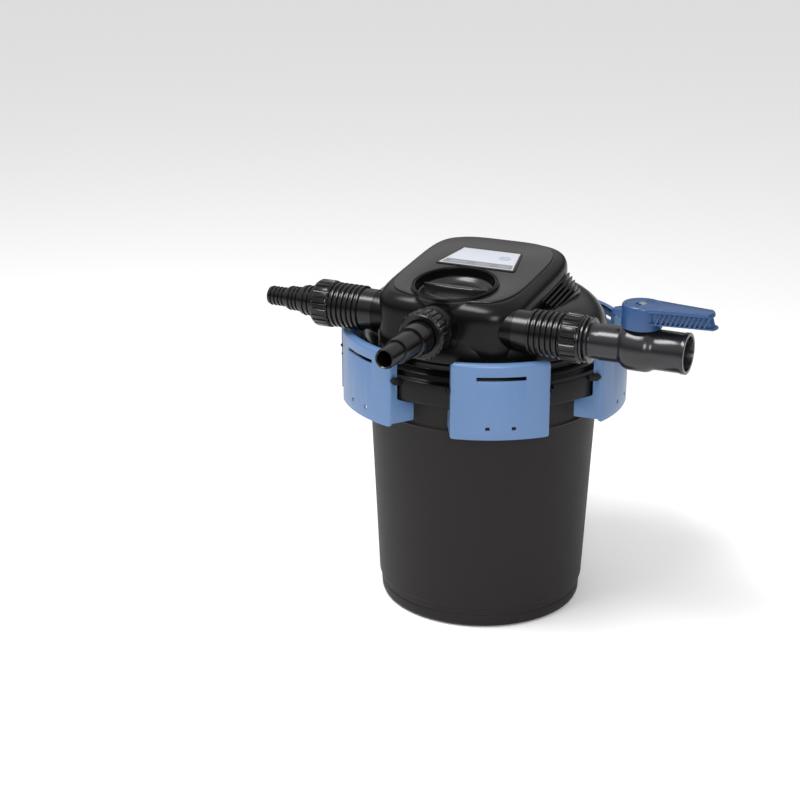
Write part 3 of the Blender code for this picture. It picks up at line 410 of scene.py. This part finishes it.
lid = [(0.156, 0.3145), (0.177, 0.322), (0.177, 0.3495), (0.171, 0.352), (0.1705, 0.359),
       (0.158, 0.3625), (0.158, 0.370), (0.162, 0.373), (0.162, 0.383), (0.1600, 0.3920),
       (0.156, 0.400), (0.1512, 0.4078), (0.145, 0.414), (0.1378, 0.4195), (0.129, 0.4235),
       (0.105, 0.4265), (0.080, 0.4285), (0.080, 0.425), (0.127, 0.420), (0.142, 0.411),
       (0.1535, 0.395), (0.1548, 0.360), (0.146, 0.358), (0.146, 0.350), (0.156, 0.350)]
give("lid_ring", turned(lid, 144, round_by=0.0012, angle=20.0), "head", "head_plastic",
     ["head_shell"])


def squarish(half_x, half_y, power, t):
    """The point of the hood's rounded-square plan in one direction."""
    c, s = cos(t), sin(t)
    reach = (abs(c / half_x) ** power + abs(s / half_y) ** power) ** (-1 / power)
    return reach * c, HOOD_Y + reach * s


def hood_level(inset, drop=None, z=None, power=5.0):
    """A loop of the hood; where it would cut the knob's boss it follows the boss."""
    def at(t):
        x, y = squarish(HOOD_HALF[0] - inset, HOOD_HALF[1] - inset, power, t)
        grow = max(1.0, BOSS_RADIUS / hypot(x - KNOB_AT.x, y - KNOB_AT.y))
        x, y = KNOB_AT.x + (x - KNOB_AT.x) * grow, KNOB_AT.y + (y - KNOB_AT.y) * grow
        return Vector((x, y, hood_top(y) - drop if z is None else z))
    return at


def knob_level(radius, drop, inset, power=5.0):
    """A loop round the knob, facing the plan loop it is bridged to."""
    def at(t):
        x, y = squarish(HOOD_HALF[0] - inset, HOOD_HALF[1] - inset, power, t)
        a = atan2(y - KNOB_AT.y, x - KNOB_AT.x)
        return TO_KNOB @ Vector((radius * cos(a), radius * sin(a), -drop))
    return at


shoulder = [(0.0, 0.0230), (0.0002, 0.0185), (0.0009, 0.0140), (0.0022, 0.0100), (0.0042, 0.0066),
            (0.0066, 0.0040), (0.0092, 0.0020), (0.0112, 0.0008), (0.0125, 0.0002), (0.0140, 0.0)]
hood = lofted([hood_level(0.0, z=0.375)] + [hood_level(i, d) for i, d in shoulder]
              + [knob_level(0.0535, 0.0, FASCIA_INSET), knob_level(0.0530, 0.0215, FASCIA_INSET)], 192)
give("hood", hood, "head", "head_plastic", ["head_shell"], 40.0)

panel = lofted([hood_level(FASCIA_INSET, -0.0002, power=4.0),
                hood_level(FASCIA_INSET, -0.0012, power=4.0),
                hood_level(0.0144, -0.0018, power=4.0), hood_level(0.0154, -0.0021, power=4.0),
                knob_level(0.0552, -0.0021, 0.0154, 4.0), knob_level(0.0545, -0.0018, 0.0154, 4.0),
                knob_level(0.0540, -0.0002, 0.0154, 4.0)], 192, (False, False))
bmesh.ops.bridge_loops(panel, edges=[e for e in panel.edges if e.is_boundary])
give("fascia", panel, "head", "fascia_plastic", ["fascia_panel"], 40.0)

well = [(0.0505, 0.0040), (0.0508, 0.0048), (0.0517, 0.0052), (0.0526, 0.0047), (0.0530, 0.0036),
        (0.0534, 0.0047), (0.0543, 0.0052), (0.0552, 0.0048), (0.0555, 0.0038), (0.0555, 0.0026),
        (0.0527, 0.0026), (0.0527, -0.006), (0.0492, -0.019), (0.0105, -0.019), (0.0105, -0.0168),
        (0.0475, -0.0168), (0.0498, -0.0070), (0.0505, 0.0)]
give("knob_ring", turned(well, 128), "head", "head_plastic", ["knob_well"], 40.0, TO_KNOB)

dish = [(0.006, -0.016), (0.046, -0.016), (0.0482, -0.010), (0.049, -0.0068), (0.0486, -0.0058),
        (0.0475, -0.0055), (0.0462, -0.0056), (0.0448, -0.0064), (0.0430, -0.0084), (0.0405, -0.0104),
        (0.036, -0.0116), (0.006, -0.012)]


def grip_level(reach, half, h):
    def at(t):
        x = reach * cos(t)
        y = half * sin(t) * (1 - 0.25 * abs(cos(t)) ** 2)
        return Vector((x, y, h))
    return at


grip = lofted([grip_level(0.0445, 0.0105, -0.0125), grip_level(0.0444, 0.0075, -0.0095),
               grip_level(0.0442, 0.0058, -0.0055), grip_level(0.0440, 0.0052, -0.0022),
               grip_level(0.0437, 0.0047, -0.0006), grip_level(0.0430, 0.0038, 0.0003),
               grip_level(0.0418, 0.0026, 0.0005)], 64)
give("knob", joined(turned(dish, 128), grip), "selector", "fascia_plastic",
     ["selector_knob"], 40.0, TO_KNOB)


def label_half(y):
    """Half-width of the film, which narrows to the rear."""
    return LABEL_HALF_WIDTH - LABEL_TAPER * y / LABEL_HALF_DEPTH


plate = slab([(side * label_half(y), y)
              for side, y in ((-1, -LABEL_HALF_DEPTH), (1, -LABEL_HALF_DEPTH),
                              (1, LABEL_HALF_DEPTH), (-1, LABEL_HALF_DEPTH))],
             0.0, 0.0012, 0.0050, 0.0003, 6)
film = plate.loops.layers.uv.new("film")
for face in plate.faces:
    for corner in face.loops:
        x, y, z = corner.vert.co
        corner[film].uv = (x * LABEL_HALF_WIDTH / label_half(y), y)
give("label", plate, "head", "label_film", ["label_plate"], 32.0,
     Matrix.Translation((0, LABEL_Y, hood_top(LABEL_Y) + 0.0023))
     @ Matrix.Rotation(HOOD_TILT, 4, "X"))

for side in (-1, 1):
    for n in range(5):
        x = side * (0.099 + 0.0042 * n)
        y0, y1 = -0.052 + 0.004 * n, 0.044 - 0.001 * n
        fin = block((min(x, x + side * 0.0022), y0, 0.419), (max(x, x + side * 0.0022), y1, 0.45))
        for v in fin.verts:
            if v.co.z > 0.44:
                v.co.z = hood_top(v.co.y) - (0.0225 + 0.0040 * n)
        soften(fin, 0.0006)
        give(f"vent_{'left' if side < 0 else 'right'}_{n + 1}", fin, "head", "head_plastic",
             ["head_shell"])

gland = [(0, 0), (0.011, 0), (0.011, 0.009), (0.0095, 0.0100), (0.0080, 0.0110), (0.0080, 0.016),
         (0.0034, 0.016), (0.0034, 0.0085), (0, 0.0085)]
lo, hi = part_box("cable_gland")
give("gland_collar", turned(gland, 48, closed=False, round_by=0.0005), "head", "fitting_plastic",
     ["cable_gland"], 32.0,
     Matrix.Translation(((lo.x + hi.x) / 2, lo.y, (lo.z + hi.z) / 2))
     @ Matrix.Rotation(-pi / 2, 4, "X"))

# ---------------------------------------------------------------- ports

for side, turn_to in (("left", ALONG_LEFT), ("right", ALONG_RIGHT)):
    collar = [(0.0195, 0.080), (0.0255, 0.080), (0.0255, 0.115), (0.0195, 0.115)]
    give(f"{side}_collar", turned(collar, round_by=0.0012), "head", "head_plastic", ["head_shell"],
         32.0, turn_to)
    ribs = [(0.0190, 0.096), (0.0262, 0.096), (0.0262, 0.1152)]
    for n in range(6):
        at = 0.1156 + 0.00717 * n
        ribs += [(0.0275, at), (0.0288, at + 0.0008), (0.0290, at + 0.0016), (0.0290, at + 0.0030),
                 (0.0288, at + 0.0038), (0.0275, at + 0.0045), (0.0264, at + 0.0050),
                 (0.0264, at + 0.0066)]
    ribs += [(0.0237, 0.1585), (0.0237, 0.170), (0.0190, 0.170)]
    give(f"{side}_neck", turned(ribs), "head", "fitting_plastic", [f"{side}_port_neck"], 30.0, turn_to)

front = [(0.0150, 0.1400), (0.0290, 0.1400), (0.0290, 0.1690), (0.0283, 0.1706), (0.0268, 0.1715),
         (0.0150, 0.1715)]
give("front_collar", turned(front, round_by=0.0010), "head", "head_plastic", ["head_shell"], 32.0,
     ALONG_FRONT)
lo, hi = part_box("front_port_neck")
tube = [(0.0150, -hi.y), (0.0185, -hi.y), (0.0185, -lo.y), (0.0150, -lo.y)]
give("front_neck", turned(tube, round_by=0.0006), "head", "fitting_plastic", ["front_port_neck"],
     32.0, ALONG_FRONT)


def nut(start, end, name, body, node, turn_to, bore=0.0208):
    """A union nut: 24 grip ribs between chamfered ends."""
    def ring(radius, h, deep=0.0):
        def at(t):
            phase = (t * 24 / (2 * pi)) % 1.0
            r = radius - deep * min(1.0, max(0.0, 3.0 * abs(phase - 0.5) * 2 - 1.6))
            return Vector((r * cos(t), r * sin(t), h))
        return at
    levels = [ring(bore, start), ring(0.0282, start), ring(0.0292, start + 0.0008, 0.0006),
              ring(0.0303, start + 0.0020, 0.0014), ring(0.0305, start + 0.0028, 0.0016),
              ring(0.0305, end - 0.0046, 0.0016), ring(0.0300, end - 0.0034, 0.0010),
              ring(0.0286, end - 0.0026), ring(0.0282, end - 0.0018), ring(0.0279, end - 0.0006),
              ring(0.0272, end), ring(bore + 0.0012, end), ring(bore, end - 0.0010)]
    bm = lofted(levels, 384, (False, False))
    bmesh.ops.bridge_loops(bm, edges=[e for e in bm.edges if e.is_boundary])
    give(name, bm, body, "fitting_plastic", [node], 30.0, turn_to)


def tail(start, steps, name, body, node, turn_to, bore):
    """A stepped hose tail with small barbs on each step: (radius, length, barbs)."""
    line = [(bore, start), (steps[0][0] - 0.0013, start)]
    at = start
    for radius, length, barbs in steps:
        pitch = length / barbs
        for n in range(barbs):
            z = at + n * pitch
            line += [(radius - 0.0013, z + 0.0004), (radius, z + 0.0010), (radius, z + 0.0018),
                     (radius - 0.0012, z + pitch - 0.0003)]
        at += length
    line += [(bore + 0.0012, at), (bore, at - 0.0012)]
    give(name, turned(line), body, "fitting_plastic", [node], 30.0, turn_to)


nut(0.1583, 0.1835, "left_nut_shell", "left_nut", "left_union_nut", ALONG_LEFT)
nut(0.1583, 0.1835, "right_nut_shell", "outlet_nut", "right_union_nut", ALONG_RIGHT)
lo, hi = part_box("front_union_nut")
nut(-hi.y, -lo.y, "front_nut_shell", "front_nut", "front_union_nut", ALONG_FRONT)
tail(0.1715, ((0.0200, 0.0335, 5), (0.0160, 0.0225, 4), (0.0127, 0.0285, 5)), "left_tail_shell",
     "left_tail", "left_hose_tail", ALONG_LEFT, 0.0099)
tail(0.1875, ((0.0205, 0.0385, 4), (0.0165, 0.0375, 6), (0.0127, 0.0320, 6)), "front_tail_shell",
     "front_tail", "front_hose_tail", ALONG_FRONT, 0.0096)

# ---------------------------------------------------------------- outlet valve

inlet = [(0.0170, 0.1712), (0.0205, 0.1712), (0.0205, 0.1840), (0.0276, 0.1844), (0.0282, 0.1850),
         (0.0282, 0.1866), (0.0276, 0.1872), (0.0222, 0.1876), (0.0220, 0.1902), (0.0276, 0.1905),
         (0.0282, 0.1911), (0.0282, 0.1926), (0.0276, 0.1932), (0.0222, 0.1938), (0.0215, 0.1960),
         (0.0215, 0.2080), (0.0170, 0.2080)]
give("valve_inlet", turned(inlet), "outlet_valve", "valve_plastic", ["valve_tail"], 32.0, ALONG_RIGHT)
shell = [(0.0165, 0.205), (0.0225, 0.205), (0.0225, 0.2290), (0.0228, 0.2310), (0.0240, 0.2330),
         (0.0262, 0.2352), (0.0274, 0.2374), (0.0284, 0.2405), (0.0290, 0.2440), (0.0292, 0.2535),
         (0.0290, 0.2630), (0.0284, 0.2660), (0.0272, 0.2688), (0.0256, 0.2712), (0.0248, 0.2735),
         (0.0245, 0.2760), (0.0245, 0.3060), (0.0253, 0.3073), (0.0253, 0.3118), (0.0248, 0.3125),
         (0.0212, 0.3125), (0.0209, 0.3118), (0.0205, 0.2825), (0.0165, 0.2825)]
give("valve_shell", turned(shell, 128), "outlet_valve", "valve_plastic", ["valve_body"], 32.0,
     ALONG_RIGHT)
boss = [(0.0052, 0.428), (0.0150, 0.428), (0.0150, 0.4400), (0.0120, 0.4425), (0.0120, 0.4485),
        (0.0115, 0.4490), (0.0052, 0.4490)]
give("valve_boss", turned(boss, 64, round_by=0.0004), "outlet_valve", "valve_plastic", ["valve_body"],
     32.0, Matrix.Translation((LEVER_X, PORT_Y, 0)))

# ---------------------------------------------------------------- lever

hub = [(0.0048, 0.4460), (0.0215, 0.4460), (0.0215, 0.4425), (0.0232, 0.4420), (0.0243, 0.4428),
       (0.0245, 0.4450), (0.0245, 0.4685), (0.0241, 0.4702), (0.0231, 0.4712), (0.0215, 0.4715),
       (0.0198, 0.4713), (0.0186, 0.4705), (0.0100, 0.4708), (0.0082, 0.4704), (0.0078, 0.4690),
       (0.0048, 0.4690)]


def paddle(inset, low, high, rim):
    """The arm's outline, drawn in by inset, between two heights."""
    half = [(-0.001, 0.0215), (0.014, 0.0212), (0.037, 0.0172), (0.062, 0.0138), (0.0885, 0.0108),
            (0.0915, 0.0060), (0.0925, 0.0)]
    points = [(x, inset - y) for x, y in half[:-1]] + [(0.0925 - inset, 0.0)]
    points += [(x, y - inset) for x, y in reversed(half[:-1])]
    plan = slab(points, low, high)
    for v in plan.verts:
        if v.co.x > 0.08:
            v.co.x -= 0.30 * (v.co.z - 0.4515) + 0.5 * inset
    soften(plan, rim, 40.0, 3)
    return plan


arm = joined(paddle(0.0042, 0.4520, 0.4690, 0.0004), paddle(0.0, 0.4655, 0.4711, 0.0014),
             paddle(0.0, 0.4515, 0.4530, 0.0005))
nose = slab([(-0.0365, -0.0060), (-0.0200, -0.0120), (-0.0200, 0.0120), (-0.0365, 0.0060)], 0.4520,
            0.4640, 0.0, 0.0)
for v in nose.verts:
    if v.co.x < -0.03:
        v.co.z = 0.4550 if v.co.z < 0.46 else 0.4610
soften(nose, 0.0012, 40.0, 3)
ribs = []
for n in range(11):
    x = 0.0250 + 0.0056 * n
    y = 0.0172 - (x - 0.037) * (0.136 if x > 0.037 else 0.174)
    for side in (-1, 1):
        rib = block((x - 0.0013, y - 0.0060, 0.4522), (x + 0.0013, y + 0.0002, 0.4665), 0.0004, 2)
        for v in rib.verts:
            v.co.x += (v.co.z - 0.459) * 0.45
            v.co.y *= side
        ribs.append(rib)
give("lever_grip", joined(turned(hub, 96), arm, nose, *ribs), "lever", "lever_plastic",
     ["valve_lever"], 32.0, Matrix.Translation((LEVER_X, PORT_Y, 0)))

# ---------------------------------------------------------------- clamps

OUTER, WING = 0.190, 0.004
TURN = radians(18.12)
ARC = OUTER * TURN
BEND = WING * (pi / 2 - TURN)
ROLL, ROLL_Z = 0.0055, 0.3791


def folded(u, w, z):
    """Where a point of the flat sheet goes once it is bent round the rim, its top edge rolled in."""
    high = min(1.0, max(0.0, (z - ROLL_Z) / ROLL))
    w += ROLL * (1.0 - sqrt(1.0 - 0.97 * high * high)) * 0.9
    side = 1 if u >= 0 else -1
    s = abs(u)
    if s <= ARC:
        return Vector(((OUTER - w) * cos(s / OUTER), side * (OUTER - w) * sin(s / OUTER), z))
    cx, cy = (OUTER - WING) * cos(TURN), (OUTER - WING) * sin(TURN)
    a = TURN + min(s - ARC, BEND) / WING
    run = max(0.0, s - ARC - BEND)
    return Vector((cx + (WING - w) * cos(a) - run, side * (cy + (WING - w) * sin(a)), z))


def wing_u(x):
    """How far along the flat sheet the wing is at x."""
    return ARC + BEND + (OUTER - WING) * cos(TURN) - x


def clamp_mesh():
    """One clamp: bent plate with slot and holes, top lip and hooked shelf, in its own frame."""
    turn = [(ARC - 0.002 + (BEND + 0.003) * sin(a), 0.0034 * (1 - cos(a)))
            for a in (pi / 2 * k / 5 for k in range(6))]
    edge = [(u, 0.2863 + rise) for u, rise in turn] + [
        (wing_u(0.1450), 0.2897), (wing_u(0.144), 0.2907), (wing_u(0.144), 0.3115),
        (wing_u(0.1455), 0.3131), (wing_u(0.1660), 0.3203), (wing_u(0.168), 0.3225),
        (wing_u(0.168), 0.3760), (wing_u(0.1695), 0.3792), (wing_u(0.1725), 0.3812)]
    edge += [(u, 0.3846 - rise) for u, rise in reversed(turn)]
    outline = [(-u, z) for u, z in edge] + [(u, z) for u, z in reversed(edge)]
    sheet = slab(outline, 0.0, 0.003)
    tools = [block((-0.031, 0.3631, -0.01), (0.031, 0.3681, 0.01), 0.0)]
    for x in (-0.0165, 0.0165):
        tools.append(block((x - 0.0027, 0.2988, -0.01), (x + 0.0027, 0.3033, 0.01), 0.0))
    for side in (-1, 1):
        pin = bmesh.new()
        bmesh.ops.create_cone(pin, cap_ends=True, segments=32, radius1=0.0026, radius2=0.0026,
                              depth=0.02)
        bmesh.ops.translate(pin, vec=(side * wing_u(PIN_X), PIN_Z, 0), verts=pin.verts)
        tools.append(pin)
    sheet = cut(sheet, *tools)
    soften(sheet, 0.00045, 60.0, 2)
    steps = [ARC * k / 12 for k in range(-12, 13)]
    for side in (-1, 1):
        steps += [side * (ARC + BEND * k / 5) for k in range(1, 6)]
    for u in steps:
        bmesh.ops.bisect_plane(sheet, geom=sheet.verts[:] + sheet.edges[:] + sheet.faces[:],
                               dist=1e-6, plane_co=(u, 0, 0), plane_no=(1, 0, 0))
    for z in (ROLL_Z + ROLL * k for k in (0.0, 0.22, 0.42, 0.60, 0.75, 0.87, 0.95)):
        bmesh.ops.bisect_plane(sheet, geom=sheet.verts[:] + sheet.edges[:] + sheet.faces[:],
                               dist=1e-6, plane_co=(0, z, 0), plane_no=(0, 1, 0))
    bmesh.ops.triangulate(sheet, faces=[f for f in sheet.faces if len(f.verts) > 4])
    flat = sheet.loops.layers.uv.new("film")
    for face in sheet.faces:
        for c in face.loops:
            c[flat].uv = c.vert.co.xy
    for v in sheet.verts:
        v.co = folded(v.co.x, v.co.z, v.co.y)
    extras = []
    for reach, low, high, thin in ((0.0070, 0.3812, 0.3840, 0.96), (0.0345, 0.3105, 0.3135, 0.97)):
        half = ARC * thin
        shelf = block((-half, 0.0008, low), (half, reach, high), 0.0006, 2)
        for u in steps:
            if abs(u) < half:
                bmesh.ops.bisect_plane(shelf, geom=shelf.verts[:] + shelf.edges[:] + shelf.faces[:],
                                       dist=1e-6, plane_co=(u, 0, 0), plane_no=(1, 0, 0))
        for v in shelf.verts:
            v.co = folded(max(-ARC, min(ARC, v.co.x)), v.co.y, v.co.z)
        extras.append(shelf)
    return joined(sheet, *extras)


EAR = [(0.1575, 0.341), (0.1745, 0.3425), (0.179, 0.3465), (0.179, 0.3485), (0.1745, 0.352),
       (0.1575, 0.349)]
Z_TO_Y = Matrix(((1, 0, 0, 0), (0, 0, 1, 0), (0, 1, 0, 0), (0, 0, 0, 1)))

pattern = clamp_mesh()
for k, direction in enumerate(CLAMP_DIRECTIONS):
    to_rim = Matrix.Rotation(radians(direction), 4, "Z")
    give(f"clamp_plate_{k + 1}", pattern.copy(), f"clamp_body_{k + 1}", "clamp_plastic",
         [f"clamp_{k + 1}"], 35.0, to_rim)
    for side in (-1, 1):
        low, high = sorted((side * 0.0625, side * 0.0665))
        ear = slab(EAR, low, high, 0.0, 0.0004)
        ear.transform(Z_TO_Y)
        give(f"ear_{k + 1}_{'left' if side < 0 else 'right'}", ear, "head", "head_plastic",
             ["head_shell"], 32.0, to_rim)
pattern.free()

# ---------------------------------------------------------------- finishes of the parts kept as they are

for name, node in NODES.items():
    if node.hide_render:
        continue
    for place in node.material_slots:
        key = place.material.name.split(".")[0] if place.material else ""
        if key in PAINTS:
            place.material = PAINTS[key].material
        else:
            print("no finish for", name, key)

# ---------------------------------------------------------------- floor, light and camera

ground = bmesh.new()
bmesh.ops.create_grid(ground, x_segments=1, y_segments=1, size=14.0)
mesh = bpy.data.meshes.new("floor")
ground.to_mesh(mesh)
ground.free()
floor = bpy.data.objects.new("floor", mesh)
bpy.context.scene.collection.objects.link(floor)
mesh.materials.append(Paint("floor", (0.90, 0.90, 0.90), 0.9, shine=0.1).material)

world = bpy.data.worlds.new("studio")
bpy.context.scene.world = world
world.use_nodes = True


class Sky(Paint):
    """The studio's surroundings: dark at eye level, bright overhead."""

    def __init__(self):
        self.tree = world.node_tree
        self.shader = self.tree.nodes["Background"]
        height = self.node("ShaderNodeSeparateXYZ", {}, {0: self.node("ShaderNodeTexCoord")}, out=2)
        rise = self.node("ShaderNodeMapRange", {"interpolation_type": "SMOOTHSTEP"},
                         {"Value": height, "From Min": 0.08, "From Max": 0.52,
                          "To Min": 0.10, "To Max": 0.88})
        self.feed(self.shader.inputs["Strength"], rise)
        self.feed(self.shader.inputs["Color"], (1.0, 1.0, 1.0))


Sky()


def softbox(name, at, to, width, height, power):
    """A rectangular lamp at one point, turned to another."""
    light = bpy.data.lights.new(name, "AREA")
    light.shape, light.size, light.size_y, light.energy = "RECTANGLE", width, height, power
    lamp = bpy.data.objects.new(name, light)
    bpy.context.scene.collection.objects.link(lamp)
    lamp.location = at
    lamp.rotation_euler = (Vector(to) - Vector(at)).to_track_quat("-Z", "Y").to_euler()


softbox("top", (-0.55, -0.85, 2.2), (0.05, -0.1, 0.3), 1.3, 0.6, 44.0)
softbox("front", (1.1, -2.0, 1.3), (0, 0, 0.3), 0.8, 0.8, 24.0)

AZIMUTH, ELEVATION = radians(23.2), radians(21.3676)
PAN, PITCH = radians(3.02524), radians(1.67834)
DISTANCE, AIM_HEIGHT = 2.2714, 0.20
back = Vector((sin(AZIMUTH) * cos(ELEVATION), -cos(AZIMUTH) * cos(ELEVATION), sin(ELEVATION)))
at = Vector((0, 0, AIM_HEIGHT)) + DISTANCE * back
ahead = -back
right = ahead.cross(Vector((0, 0, 1))).normalized()
pan = Matrix.Rotation(PAN, 3, "Z")
ahead, right = pan @ ahead, pan @ right
ahead = Matrix.Rotation(PITCH, 3, right) @ ahead
up = right.cross(ahead)
eye = bpy.data.cameras.new("camera")
eye.lens, eye.sensor_width = 75.1, 36.0
bpy.context.scene.view_settings.view_transform = "Standard"
camera = bpy.data.objects.new("camera", eye)
bpy.context.scene.collection.objects.link(camera)
camera.matrix_world = Matrix.Translation(at) @ Matrix(
    ((right.x, up.x, -ahead.x), (right.y, up.y, -ahead.y), (right.z, up.z, -ahead.z))).to_4x4()
bpy.context.scene.camera = camera
